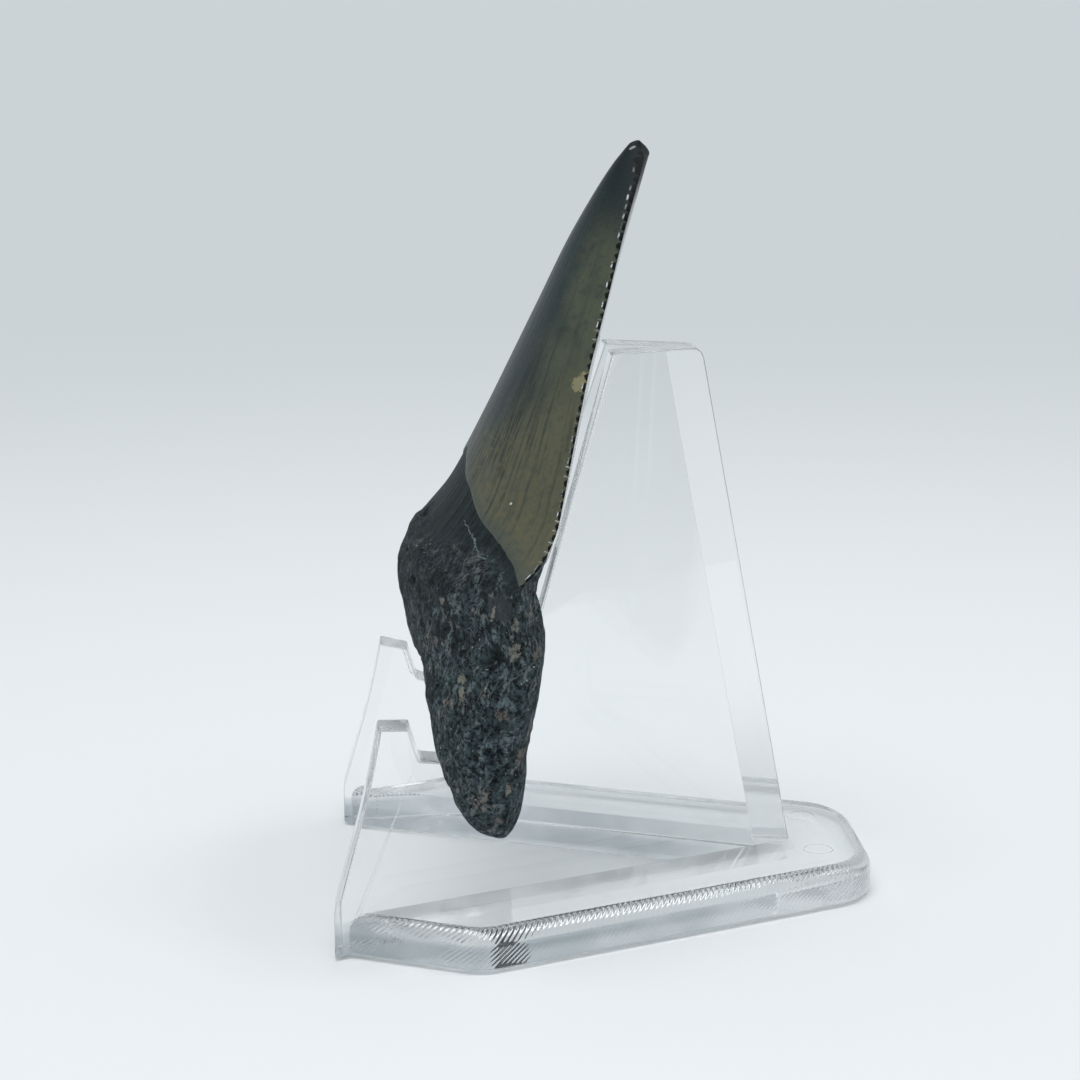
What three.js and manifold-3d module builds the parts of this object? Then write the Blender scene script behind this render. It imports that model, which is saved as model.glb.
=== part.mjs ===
// A fossil shark tooth leaning back on a clear V-shaped display stand.
// Millimetres, +Z up. -Y is the display front and X = 0 is the stand's plane of symmetry.
// Everything is built with Y measured back from the front of the stand, then centred as one group.
import * as THREE from "three";
import { mergeVertices } from "three/addons/utils/BufferGeometryUtils.js";
import Module from "manifold-3d";

const wasm = await Module();
wasm.setup();

const { degToRad, smoothstep, lerp } = THREE.MathUtils;

// Stand: two upright walls that meet in a V at the back, on a foot that flanges outwards.
const WALL = 3.0; // thickness of a wall, square to its face
const V_DEPTH = 38.5; // front of the walls to the flat strip where they meet, at the table
const V_HALF_ANGLE = degToRad(23.5); // each wall to the plane of symmetry
const STRIP_HALF_WIDTH = 1.8;
const BACK_RAKE = degToRad(10.3); // the walls' back leans forward as it rises
const STAND_HEIGHT = 45.0;
const FOOT_HEIGHT = 3.1;
const FOOT_DEPTH = 44.4;
const FOOT_EDGE_ROUND = 1.3; // radius along the foot's upper edge
const FLANGE_WIDTH = 8.2; // the foot's reach outside a wall, square to its face
const FLANGE_START = 1.1; // the flange begins this far behind the front of the wall
const FLANGE_CORNER = 11.3; // Y where the slanted front of the flange reaches full width
const REAR_CORNER = 42.7; // Y where the flange's outer edge turns in to the back end
const REAR_HALF_WIDTH = 5.8; // half of the straight back end

// The notch that holds the tooth, as heights and setbacks on the walls' side profile.
const PRONG_TOP_Z = 17.3;
const PRONG_WIDTH = 2.4;
const SHELF_FRONT = [6.7, 14.4];
const SHELF_BACK = [12.95, 13.1];
const REST_TOP_Y = 22.7; // front of the narrow top of the back rest

// Tooth, in its own frame: height runs from the root's tips to the crown's tip, depth from the
// plane of the lip side (back) towards the tongue side (front), and X across it.
const TOOTH_LENGTH = 55.0;
const SHOULDER_HEIGHT = 20.6; // where the cutting edges end and the root begins
const SHOULDER_HALF_WIDTH = 20.6;
const SHOULDER_DEPTH = 3.5;
const TIP_ROUND = 0.9;
const TOOTH_LEAN = degToRad(13.8);
const TOOTH_FOOT = [0, 12.6, 8.3]; // where the root's tips hang, beside the walls
const LENS_POWER = { tongue: 2.15, lip: 2.4 }; // crown section across, sharp at the cutting edges
const LENS_EASE = { tongue: 1.08, lip: 1 };
const ROOT_POWER = 6; // root section across, a block with rounded sides
const ROOT_EASE = 0.5;
const COLUMNS = 28;
const CROWN_ROWS = 40;
const ROOT_ROWS = 22;

const vHalfTan = Math.tan(V_HALF_ANGLE);
const rakeTan = Math.tan(BACK_RAKE);

// ---------------------------------------------------------------- shared geometry helpers

function toSolid(geometry) {
  const bare = geometry.clone();
  bare.deleteAttribute("normal");
  bare.deleteAttribute("uv");
  const merged = mergeVertices(bare, 1e-4);
  return new wasm.Manifold(
    new wasm.Mesh({
      numProp: 3,
      vertProperties: merged.attributes.position.array,
      triVerts: new Uint32Array(merged.index.array),
    }),
  );
}

function toGeometry(solid) {
  const { vertProperties, triVerts } = solid.getMesh();
  const geometry = new THREE.BufferGeometry();
  geometry.setAttribute("position", new THREE.BufferAttribute(vertProperties, 3));
  geometry.setIndex(new THREE.BufferAttribute(triVerts, 1));
  geometry.computeVertexNormals();
  return geometry;
}

// A closed outline from corners [x, y, radius]; a corner with no radius stays sharp.
function outline(corners) {
  const shape = new THREE.Shape();
  corners.forEach(([x, y, radius = 0], i) => {
    const corner = new THREE.Vector2(x, y);
    const towards = (neighbour) =>
      new THREE.Vector2(neighbour[0], neighbour[1]).sub(corner).setLength(radius).add(corner);
    const entry = towards(corners.at(i - 1));
    const exit = towards(corners[(i + 1) % corners.length]);
    if (i === 0) shape.moveTo(entry.x, entry.y);
    else shape.lineTo(entry.x, entry.y);
    if (radius > 0) shape.quadraticCurveTo(x, y, exit.x, exit.y);
  });
  shape.closePath();
  return shape;
}

// A smooth function through [position, value] pairs, level where the values turn round.
function curveThrough(...pairs) {
  const rise = (i) => (pairs[i + 1][1] - pairs[i][1]) / (pairs[i + 1][0] - pairs[i][0]);
  const slopes = pairs.map((_, i) => {
    if (i === 0) return rise(0);
    if (i === pairs.length - 1) return rise(i - 1);
    const before = rise(i - 1);
    const after = rise(i);
    return before * after <= 0 ? 0 : (2 * before * after) / (before + after);
  });
  return (position) => {
    const last = pairs.length - 2;
    const found = pairs.findIndex(([x], i) => i > 0 && position <= x);
    const i = found < 0 ? last : Math.min(found - 1, last);
    const [x0, y0] = pairs[i];
    const [x1, y1] = pairs[i + 1];
    const width = x1 - x0;
    const t = THREE.MathUtils.clamp((position - x0) / width, 0, 1);
    return (
      y0 * (1 + 2 * t) * (1 - t) ** 2 +
      y1 * (3 - 2 * t) * t ** 2 +
      width * (slopes[i] * t * (1 - t) ** 2 - slopes[i + 1] * t ** 2 * (1 - t))
    );
  };
}

// ---------------------------------------------------------------- display stand

// Half width of the V at a distance behind the front, measured at table height, with the
// given offset square to the wall's outer face.
function vHalfWidth(y, offset = 0) {
  return STRIP_HALF_WIDTH + (V_DEPTH - y) * vHalfTan + offset / Math.cos(V_HALF_ANGLE);
}

// The V as a prism that leans forward with the back strip as it rises.
function leaningV(offset) {
  const margin = 6;
  const front = -margin;
  const halfWidth = vHalfWidth(front, offset);
  const apex = front + halfWidth / vHalfTan;
  const plan = outline([[-halfWidth, front], [halfWidth, front], [0, apex]]);
  const prism = new THREE.ExtrudeGeometry(plan, {
    depth: STAND_HEIGHT + 2 * margin,
    bevelEnabled: false,
  });
  prism.translate(0, 0, -margin);
  prism.applyMatrix4(new THREE.Matrix4().makeShear(0, 0, 0, 0, 0, -rakeTan));
  return toSolid(prism);
}

// Everything inside the side profile of both walls: feet, prongs, notch, back rest and rake.
function sideProfile() {
  const prongRise = PRONG_TOP_Z - FOOT_HEIGHT;
  const prongFront = 0.25 * prongRise;
  const profile = outline([
    [0, 0],
    [0, FOOT_HEIGHT + 0.4, 0.3],
    [2.55, 12.3, 3],
    [prongFront, PRONG_TOP_Z, 0.2],
    [prongFront + PRONG_WIDTH, PRONG_TOP_Z - 0.3, 0.2],
    [...SHELF_FRONT, 0.3],
    [...SHELF_BACK, 0.5],
    [REST_TOP_Y, STAND_HEIGHT, 0.2],
    [V_DEPTH - STAND_HEIGHT * rakeTan, STAND_HEIGHT, 0.9],
    [V_DEPTH, 0],
  ]);
  const width = 2 * vHalfWidth(0) + 2;
  const slab = new THREE.ExtrudeGeometry(profile, {
    depth: width,
    bevelEnabled: false,
    curveSegments: 5,
  });
  slab.translate(0, 0, -width / 2);
  const alongX = new THREE.Matrix4().makeBasis(
    new THREE.Vector3(0, 1, 0),
    new THREE.Vector3(0, 0, 1),
    new THREE.Vector3(1, 0, 0),
  );
  slab.applyMatrix4(alongX);
  return toSolid(slab);
}

// The foot before the inside of the V is taken out, with its upper edge rounded all the way round.
function footBlock() {
  const right = [
    [vHalfWidth(FLANGE_START) - 0.1, FLANGE_START],
    [vHalfWidth(FLANGE_CORNER, FLANGE_WIDTH), FLANGE_CORNER, 1.6],
    [vHalfWidth(REAR_CORNER, FLANGE_WIDTH), REAR_CORNER, 1.7],
    [REAR_HALF_WIDTH, FOOT_DEPTH, 1.7],
  ];
  const left = right.map(([x, y, radius]) => [-x, y, radius]).reverse();
  const block = new THREE.ExtrudeGeometry(outline([...right, ...left]), {
    depth: FOOT_HEIGHT,
    bevelThickness: FOOT_EDGE_ROUND,
    bevelSize: FOOT_EDGE_ROUND,
    bevelOffset: -FOOT_EDGE_ROUND,
    bevelSegments: 4,
    curveSegments: 6,
  });
  block.translate(0, 0, -FOOT_EDGE_ROUND);
  const reach = 4 * FOOT_DEPTH;
  const underTable = new THREE.BoxGeometry(reach, reach, reach);
  underTable.translate(0, 0, -reach / 2);
  return toSolid(block).subtract(toSolid(underTable));
}

// One moulding: walls and foot together, open through the middle of the V.
function displayStand() {
  const walls = leaningV(0).intersect(sideProfile());
  const stand = footBlock().add(walls).subtract(leaningV(-WALL));
  const mesh = new THREE.Mesh(
    toGeometry(stand),
    new THREE.MeshStandardMaterial({
      color: "#eaf2f5",
      roughness: 0.05,
      metalness: 0,
      transparent: true,
      opacity: 0.35,
    }),
  );
  mesh.name = "display_stand";
  return mesh;
}

// ---------------------------------------------------------------- tooth

// Side view along the middle: the bulging tongue side and the flat lip side.
const tongueSide = curveThrough(
  [0, 4.1], [2, 5.8], [5, 7.3], [7.5, 8.15], [10.5, 9.05], [14.8, 11.0], [17.3, 11.7],
  [19.3, 11.45], [21.2, 10.6], [24.4, 9.1], [28, 8.1], [40.8, 5.2], [45.8, 4.1],
  [50.2, 2.8], [52.6, 1.95], [54, 1.25], [TOOTH_LENGTH, 0.7],
);
const lipSide = curveThrough(
  [0, -0.3], [5, 0.75], [12, 0.8], [16, 0.65], [20, 0.45], [25, 0.2], [33, 0.1], [42, 0],
  [50, -0.45], [TOOTH_LENGTH, -0.75],
);
// The lip side stands further back on both sides of the middle, outside the stand's walls.
const lipRidge = curveThrough(
  [0, 1.6], [4, 2.2], [8, 1.5], [12, 1.25], [17, 1.05], [SHOULDER_HEIGHT, 0.55], [24, 0],
);

// Cutting edge: its half width and its depth at each height.
const edgeHalfWidth = curveThrough(
  [SHOULDER_HEIGHT, SHOULDER_HALF_WIDTH], [22.5, 19.6], [25, 18.2], [30, 15.5], [40, 10], [48, 5.2],
  [52, 2.6], [54, 1.2], [TOOTH_LENGTH, 0.4],
);
const edgeDepth = curveThrough(
  [SHOULDER_HEIGHT, SHOULDER_DEPTH], [22.3, 2.2], [23.9, 1.55], [26, 1.2], [35, 1.2], [43, 0.75],
  [48, 0.5], [50.5, 0.2], [TOOTH_LENGTH, -0.4],
);

// Root: its lower outline from the arch (0) over a root tip to the outer side (1), and the depth
// of the line round its outer side.
const rootOutlineX = curveThrough(
  [0, 0], [0.35, 7], [0.6, 12], [0.72, 14.6], [0.84, 16.6], [0.93, 18.4], [1, 19.5],
);
const rootOutlineHeight = curveThrough(
  [0, 10.2], [0.35, 8.5], [0.6, 6.1], [0.72, 2.6], [0.84, 0.35], [0.93, 1.8], [1, 5],
);
const rootSideDepth = curveThrough(
  [0, 0.2], [2, 0.9], [5, 1.5], [12, 1.9], [17, 2.2], [SHOULDER_HEIGHT, SHOULDER_DEPTH],
);
const tongueFall = curveThrough([4, 0.006], [9, 0.006], [17, 0.0185], [SHOULDER_HEIGHT, 0.02]);

const ridgeAt = (x, height) => lipRidge(height) * smoothstep(Math.abs(x), 10.6, 14);

// A crown point: across runs from -1 to 1 between the cutting edges, along from the tip (0) to the
// shoulders (1). Gives x, height and the depths of the tongue and lip faces there.
function crownPoint(across, along) {
  const height = lerp(TOOTH_LENGTH, SHOULDER_HEIGHT, along ** 1.2);
  const x = across * edgeHalfWidth(height);
  const edge = edgeDepth(height);
  const past = tipRounding(height);
  const tongue = edge + (tongueSide(height) - edge) * section("tongue", across, 0) * past;
  const lip = edge + (lipSide(height) - ridgeAt(x, height) - edge) * section("lip", across, 0) * past;
  return { x, height, tongue, lip };
}

// How much of a face's full depth is left at a place across the tooth, from 1 in the middle to 0 at
// the rim, turning from the crown's lens (0) into the root's rounded block (1).
function section(face, across, rounded) {
  const power = lerp(LENS_POWER[face], ROOT_POWER, rounded);
  return (1 - Math.abs(across) ** power) ** lerp(LENS_EASE[face], ROOT_EASE, rounded);
}

// Thickness left near the crown's tip, falling to nothing in a quarter circle.
function tipRounding(height) {
  const into = Math.max(0, (height - TOOTH_LENGTH + TIP_ROUND) / TIP_ROUND);
  return Math.sqrt(Math.max(0, 1 - into ** 2));
}

// A root point: down runs from the shoulders (0) to the root's lower outline (1). Its section turns
// from the crown's sharp-edged lens into a rounded block.
function rootPoint(across, down) {
  const side = Math.abs(across);
  const waist = 0.5 * Math.sin(Math.PI * down) * across * side ** 4;
  const x = lerp(across * SHOULDER_HALF_WIDTH, Math.sign(across) * rootOutlineX(side), down) - waist;
  const height = lerp(SHOULDER_HEIGHT, rootOutlineHeight(side), down);
  const rounded = smoothstep(down, 0, 0.3);
  const below = Math.sqrt(Math.max(0, 1 - down ** 14));
  const tongueFull = tongueSide(height) - tongueFall(height) * x * x * rounded;
  const lipFull = lipSide(height) - ridgeAt(x, height);
  const outer = smoothstep(side, 0.45, 0.8);
  const middle = lerp((tongueFull + lipFull) / 2, rootSideDepth(height), outer);
  const edge = lerp(SHOULDER_DEPTH, middle, rounded);
  return {
    x,
    height,
    tongue: edge + (tongueFull - edge) * section("tongue", across, rounded) * below,
    lip: edge + (lipFull - edge) * section("lip", across, rounded) * below,
  };
}

// One piece as it grew: a tongue face and a lip face over the same grid, joined round the rim.
function tooth() {
  const rows = CROWN_ROWS + ROOT_ROWS;
  const tongue = [];
  const lip = [];
  for (let row = 0; row <= rows; row++) {
    for (let column = 0; column <= COLUMNS; column++) {
      const even = (2 * column) / COLUMNS - 1;
      const across = 0.55 * even + 0.45 * Math.sin((even * Math.PI) / 2);
      const point =
        row <= CROWN_ROWS
          ? crownPoint(across, row / CROWN_ROWS)
          : rootPoint(across, 1 - (1 - (row - CROWN_ROWS) / ROOT_ROWS) ** 1.7);
      tongue.push(point.x, -point.tongue, point.height);
      lip.push(point.x, -point.lip, point.height);
    }
  }
  const stride = COLUMNS + 1;
  const lipStart = (rows + 1) * stride;
  const faces = [];
  for (let row = 0; row < rows; row++) {
    for (let column = 0; column < COLUMNS; column++) {
      const a = row * stride + column;
      const [b, c, d] = [a + 1, a + stride, a + stride + 1];
      faces.push(a, c, b, b, c, d);
      faces.push(lipStart + a, lipStart + b, lipStart + c, lipStart + b, lipStart + d, lipStart + c);
    }
  }
  const geometry = new THREE.BufferGeometry();
  geometry.setAttribute("position", new THREE.Float32BufferAttribute([...tongue, ...lip], 3));
  geometry.setIndex(faces);
  const closed = toGeometry(toSolid(geometry));
  const mesh = new THREE.Mesh(
    closed,
    new THREE.MeshStandardMaterial({ color: "#3c413b", roughness: 0.45, metalness: 0 }),
  );
  mesh.name = "tooth";
  mesh.position.set(...TOOTH_FOOT);
  mesh.rotation.x = -TOOTH_LEAN;
  return mesh;
}

const group = new THREE.Group();
group.add(displayStand(), tooth());
group.position.y = -FOOT_DEPTH / 2;

export default group;
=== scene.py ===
"""A fossil shark tooth leaning back in the notches of a clear V-shaped display stand.

Metres in the scene, millimetres in the tables below; +Z is up and -Y is the display front.
"""

import itertools
import math

import bmesh
import bpy
import numpy as np
from mathutils import Matrix, Vector


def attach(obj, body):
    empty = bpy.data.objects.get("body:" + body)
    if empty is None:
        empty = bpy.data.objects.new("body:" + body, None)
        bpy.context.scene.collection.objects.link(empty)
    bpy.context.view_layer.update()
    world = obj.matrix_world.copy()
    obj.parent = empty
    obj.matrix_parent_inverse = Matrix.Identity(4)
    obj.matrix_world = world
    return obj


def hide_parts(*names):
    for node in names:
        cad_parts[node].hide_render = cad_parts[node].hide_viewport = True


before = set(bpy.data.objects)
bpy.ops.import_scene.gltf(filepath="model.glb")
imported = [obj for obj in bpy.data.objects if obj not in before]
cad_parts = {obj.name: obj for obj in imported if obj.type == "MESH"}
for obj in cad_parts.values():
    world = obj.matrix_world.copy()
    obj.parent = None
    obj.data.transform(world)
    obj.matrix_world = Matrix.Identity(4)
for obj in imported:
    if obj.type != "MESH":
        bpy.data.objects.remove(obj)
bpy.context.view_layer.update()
MM = 0.001

# ------------------------------------------------------------------------------ tooth
# The fossil tooth, one mass as it grew: a glossy enamel crown with serrated cutting edges, the
# smooth dark band under it, and the rough two-lobed root. It hangs between the walls of the
# stand, its root on the two shelves and its flat lip side against the slanted back rests.

TOOTH_LENGTH = 55.0
SHOULDER_HEIGHT = 20.6
SHOULDER_HALF_WIDTH = 20.6
SHOULDER_DEPTH = 3.5
TIP_ROUND = 0.7
TIP_SLANT = 0.35  # how steeply the broken tip falls away, about a line at TIP_MIDDLE
TIP_MIDDLE = 0.9
LENS_POWER = {"tongue": 2.15, "lip": 2.4}  # crown section across, sharp at the cutting edges
LENS_EASE = {"tongue": 1.08, "lip": 1.0}
ROOT_POWER = 6  # root section across, a block with rounded sides
ROOT_EASE = 0.5
TOOTH_LEAN = math.radians(13.8)
HALF_FOOT_DEPTH = 22.2  # from the front of the stand to its middle, where Y is 0
TOOTH_FOOT = (0.0, 12.6 - HALF_FOOT_DEPTH, 8.3)
HALF_COLUMNS = 56
BEADS = 45  # serrations down each cutting edge
ROWS_PER_BEAD = 6
ROOT_ROWS = 128
SERRATION_DEPTH = 0.34
SERRATION_REACH = 0.5
SERRATION_THINNING = 0.35  # share of the edge's thickness that a gap takes away
ENAMEL_STEP = 0.13


def curve_through(*pairs):
    """A smooth line through (position, value) pairs. Each stretch is a cubic whose end slopes are
    the harmonic mean of the slopes on both sides, or level where the values turn round."""
    at, value = np.array(pairs, float).T
    rise = np.diff(value) / np.diff(at)
    before, after = rise[:-1], rise[1:]
    both = np.where(before * after > 0, before + after, np.inf)
    slope = np.concatenate([rise[:1], 2 * before * after / both, rise[-1:]])

    def line(position):
        i = np.clip(np.searchsorted(at, position) - 1, 0, len(at) - 2)
        width = at[i + 1] - at[i]
        t = np.clip((position - at[i]) / width, 0, 1)
        ends = value[i] * (1 + 2 * t) * (1 - t) ** 2 + value[i + 1] * (3 - 2 * t) * t**2
        return ends + width * (slope[i] * t * (1 - t) ** 2 - slope[i + 1] * t**2 * (1 - t))

    return line


def ease(value, low, high):
    """0 below low, 1 above high, and a smooth S between them."""
    t = np.clip((value - low) / (high - low), 0, 1)
    return t * t * (3 - 2 * t)


def blend(a, b, share):
    """a where share is 0, b where it is 1."""
    return a + (b - a) * share


# Side view along the middle: depth of the bulging tongue side and of the flat lip side by height.
tongue_side = curve_through(
    (0, 4.1), (2, 5.8), (5, 7.3), (7.5, 8.15), (10.5, 9.05), (14.8, 11.0), (17.3, 11.7),
    (19.3, 11.45), (21.2, 10.6), (24.4, 9.1), (28, 8.1), (40.8, 5.2), (45.8, 4.1), (50.2, 2.8),
    (52.6, 1.95), (54, 1.25), (TOOTH_LENGTH, 0.7),
)
lip_side = curve_through(
    (0, -0.3), (5, 0.75), (12, 0.8), (16, 0.65), (20, 0.45), (25, 0.2), (33, 0.1), (42, 0),
    (50, -0.45), (TOOTH_LENGTH, -0.75),
)
# The lip side stands further back on both sides of the middle, outside the stand's walls.
lip_ridge = curve_through(
    (0, 1.6), (4, 2.2), (8, 1.5), (12, 1.25), (17, 1.05), (SHOULDER_HEIGHT, 0.55), (24, 0),
)
# Cutting edge: its half width and its depth by height.
edge_half_width = curve_through(
    (SHOULDER_HEIGHT, SHOULDER_HALF_WIDTH), (22.5, 19.6), (25, 18.2), (30, 15.5), (40, 10),
    (48, 5.2), (52, 2.6), (54, 1.2), (TOOTH_LENGTH, 0.4),
)
edge_depth = curve_through(
    (SHOULDER_HEIGHT, SHOULDER_DEPTH), (22.3, 2.2), (23.9, 1.55), (26, 1.2), (35, 1.15), (43, 0.65),
    (48, 0.3), (51, 0), (53.5, -0.2), (TOOTH_LENGTH, 0.35),
)
# Root: its lower outline from the arch (0) over a root tip to the outer side (1), the depth of the
# line round its outer side by height, and how fast its tongue side falls back to the sides.
root_outline_x = curve_through(
    (0, 0), (0.35, 7), (0.6, 12), (0.72, 14.6), (0.84, 16.6), (0.93, 18.4), (1, 19.5),
)
root_outline_height = curve_through(
    (0, 10.2), (0.35, 8.5), (0.6, 6.1), (0.72, 2.6), (0.84, 0.35), (0.93, 1.8), (1, 5),
)
root_side_depth = curve_through(
    (0, 0.2), (2, 0.9), (5, 1.5), (12, 1.9), (17, 2.2), (SHOULDER_HEIGHT, SHOULDER_DEPTH),
)
tongue_fall = curve_through((4, 0.006), (9, 0.006), (17, 0.0185), (SHOULDER_HEIGHT, 0.02))

# Height of the enamel's lower edge at a distance from the middle of the tooth, on each side.
enamel_line_tongue = curve_through(
    (0, 27.5), (1.2, 27.2), (4.5, 26), (7.5, 25.1), (9, 24.5), (12, 23.6), (15, 22.9),
    (16.5, 22.4), (18.7, 21.6), (19.6, 21.2), (20.5, 20.8), (21, 20.65),
)
enamel_line_lip = curve_through(
    (0, 21.4), (6, 20.9), (12, 21.6), (16, 22.9), (18.4, 24), (21, 25.2),
)

LATTICE_CELLS = 48
lattice = np.random.default_rng(11).random((LATTICE_CELLS,) * 3)


def lumps(place, size):
    """Soft random lumps, 0 to 1: chance values on a lattice of the given spacing (one number, or
    one for each axis), blended smoothly between its corners."""
    spot = place / np.array(size, float)
    cell = np.floor(spot).astype(int)
    share = spot - cell
    share = share * share * (3 - 2 * share)
    total = 0.0
    for corner in itertools.product((0, 1), repeat=3):
        weight = np.prod(np.where(corner, share, 1 - share), axis=-1)
        total = total + weight * lattice[tuple(np.moveaxis((cell + corner) % LATTICE_CELLS, -1, 0))]
    return total


def even_along(x, y, count):
    """Shares of the way along a line through the points x, y that cut it into equal lengths."""
    run = np.concatenate([[0], np.cumsum(np.hypot(np.diff(x), np.diff(y)))])
    return np.interp(np.linspace(0, run[-1], count), run, np.linspace(0, 1, len(run)))


def ridge_at(x, height):
    """How far the lip side stands back at a place beside the middle."""
    return lip_ridge(height) * ease(np.abs(x), 10.6, 14)


def tooth_faces():
    """The tongue face and the lip face over one grid of rows down the tooth and columns across it.

    Crown rows step evenly down the cutting edge; each runs across from edge to edge as a lens,
    1 - |across|^power. Root rows run from the shoulders to the root's lower outline, as a block
    with rounded sides. Returns x, height, the two depths and `across`, in the tooth's own frame.
    """
    q = np.linspace(-1, 1, 2 * HALF_COLUMNS + 1)
    crown_across = 0.6 * q + 0.4 * np.sin(q * math.pi / 2)
    a = np.linspace(0, 1, 2000)
    stops = even_along(17 * a, 4.5 * np.sqrt(1 - a**6), HALF_COLUMNS + 1)
    root_across = np.concatenate([-stops[:0:-1], stops])

    # crown
    h = np.linspace(TOOTH_LENGTH, SHOULDER_HEIGHT, 4000)
    rows = even_along(edge_half_width(h), h, BEADS * ROWS_PER_BEAD + 1)
    height = blend(TOOTH_LENGTH, SHOULDER_HEIGHT, rows)[:, None] + 0 * q
    across = crown_across + 0 * height
    x = across * edge_half_width(height)
    into_tip = np.maximum(0, (height - TOOTH_LENGTH + TIP_ROUND) / TIP_ROUND)
    past = np.sqrt(np.maximum(0, 1 - into_tip**2))
    edge = edge_depth(height)
    tongue_lens = (1 - np.abs(across) ** LENS_POWER["tongue"]) ** LENS_EASE["tongue"]
    lip_lens = 1 - np.abs(across) ** LENS_POWER["lip"]
    crown = (
        x, height, edge + (tongue_side(height) - edge) * tongue_lens * past,
        edge + (lip_side(height) - ridge_at(x, height) - edge) * lip_lens * past, across,
    )

    # root
    down = (1 - (1 - np.arange(1, ROOT_ROWS + 1) / ROOT_ROWS) ** 1.7)[:, None] + 0 * q
    rounded = ease(down, 0, 0.3)
    across = blend(crown_across, root_across, rounded)
    side = np.abs(across)
    waist = 0.5 * np.sin(math.pi * down) * across * side**4
    x = blend(across * SHOULDER_HALF_WIDTH, np.sign(across) * root_outline_x(side), down) - waist
    height = blend(SHOULDER_HEIGHT, root_outline_height(side), down)
    below = np.sqrt(np.maximum(0, 1 - down**14))
    tongue_full = tongue_side(height) - tongue_fall(height) * x * x * rounded
    lip_full = lip_side(height) - ridge_at(x, height)
    middle = blend((tongue_full + lip_full) / 2, root_side_depth(height), ease(side, 0.45, 0.8))
    edge = blend(SHOULDER_DEPTH, middle, rounded)
    tongue_block, lip_block = [
        np.maximum(0, 1 - side ** blend(LENS_POWER[face], ROOT_POWER, rounded))
        ** blend(LENS_EASE[face], ROOT_EASE, rounded)
        for face in ("tongue", "lip")
    ]
    root = (
        x, height, edge + (tongue_full - edge) * tongue_block * below,
        edge + (lip_full - edge) * lip_block * below, across,
    )
    return [np.concatenate(parts) for parts in zip(crown, root)]


def serrated(x, height, across):
    """How far the edge is cut back at each point: beads with narrow gaps between them, the cut
    dying out SERRATION_REACH inside the edge, each gap a little deeper or shallower by chance."""
    row = np.arange(len(x))[:, None] + 0 * x
    bead = np.minimum(row // ROWS_PER_BEAD, BEADS).astype(int)
    chance = np.random.default_rng(5).random((2, BEADS + 1))
    size = 0.65 + 0.6 * np.where(across < 0, chance[0][bead], chance[1][bead])
    gap = 1 - np.abs(np.sin(math.pi * row / ROWS_PER_BEAD)) ** 0.6
    inside = np.maximum(0, edge_half_width(height) - np.abs(x))
    reach = np.minimum(SERRATION_REACH, 0.2 * edge_half_width(height))
    near = np.maximum(0, 1 - inside / reach) ** 2
    fresh = ease(height, SHOULDER_HEIGHT, 21.4) * ease(TOOTH_LENGTH - height, 1.5, 12.0)
    crown = row <= BEADS * ROWS_PER_BEAD
    return gap * near * size * fresh * crown


def grid_faces(index, flip):
    """Quads of a grid whose points have the given numbers, turned over if flip is set."""
    corner = [index[:-1, :-1], index[:-1, 1:], index[1:, 1:], index[1:, :-1]]
    quads = np.stack([c.ravel() for c in corner], axis=1)
    return quads[:, ::-1] if flip else quads


def new_piece(name, points, faces):
    """A mesh object at the origin from metre points and a list of faces."""
    mesh = bpy.data.meshes.new(name)
    mesh.from_pydata(points.tolist(), [], [list(map(int, f)) for f in faces])
    mesh.update()
    piece = bpy.data.objects.new(name, mesh)
    bpy.context.scene.collection.objects.link(piece)
    return piece


def write_attribute(mesh, name, values):
    """Stores one number, or one vector, for each point of the mesh."""
    vector = values.ndim == 2
    layer = mesh.attributes.new(name, "FLOAT_VECTOR" if vector else "FLOAT", "POINT")
    layer.data.foreach_set("vector" if vector else "value", values.astype(np.float32).ravel())


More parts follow.
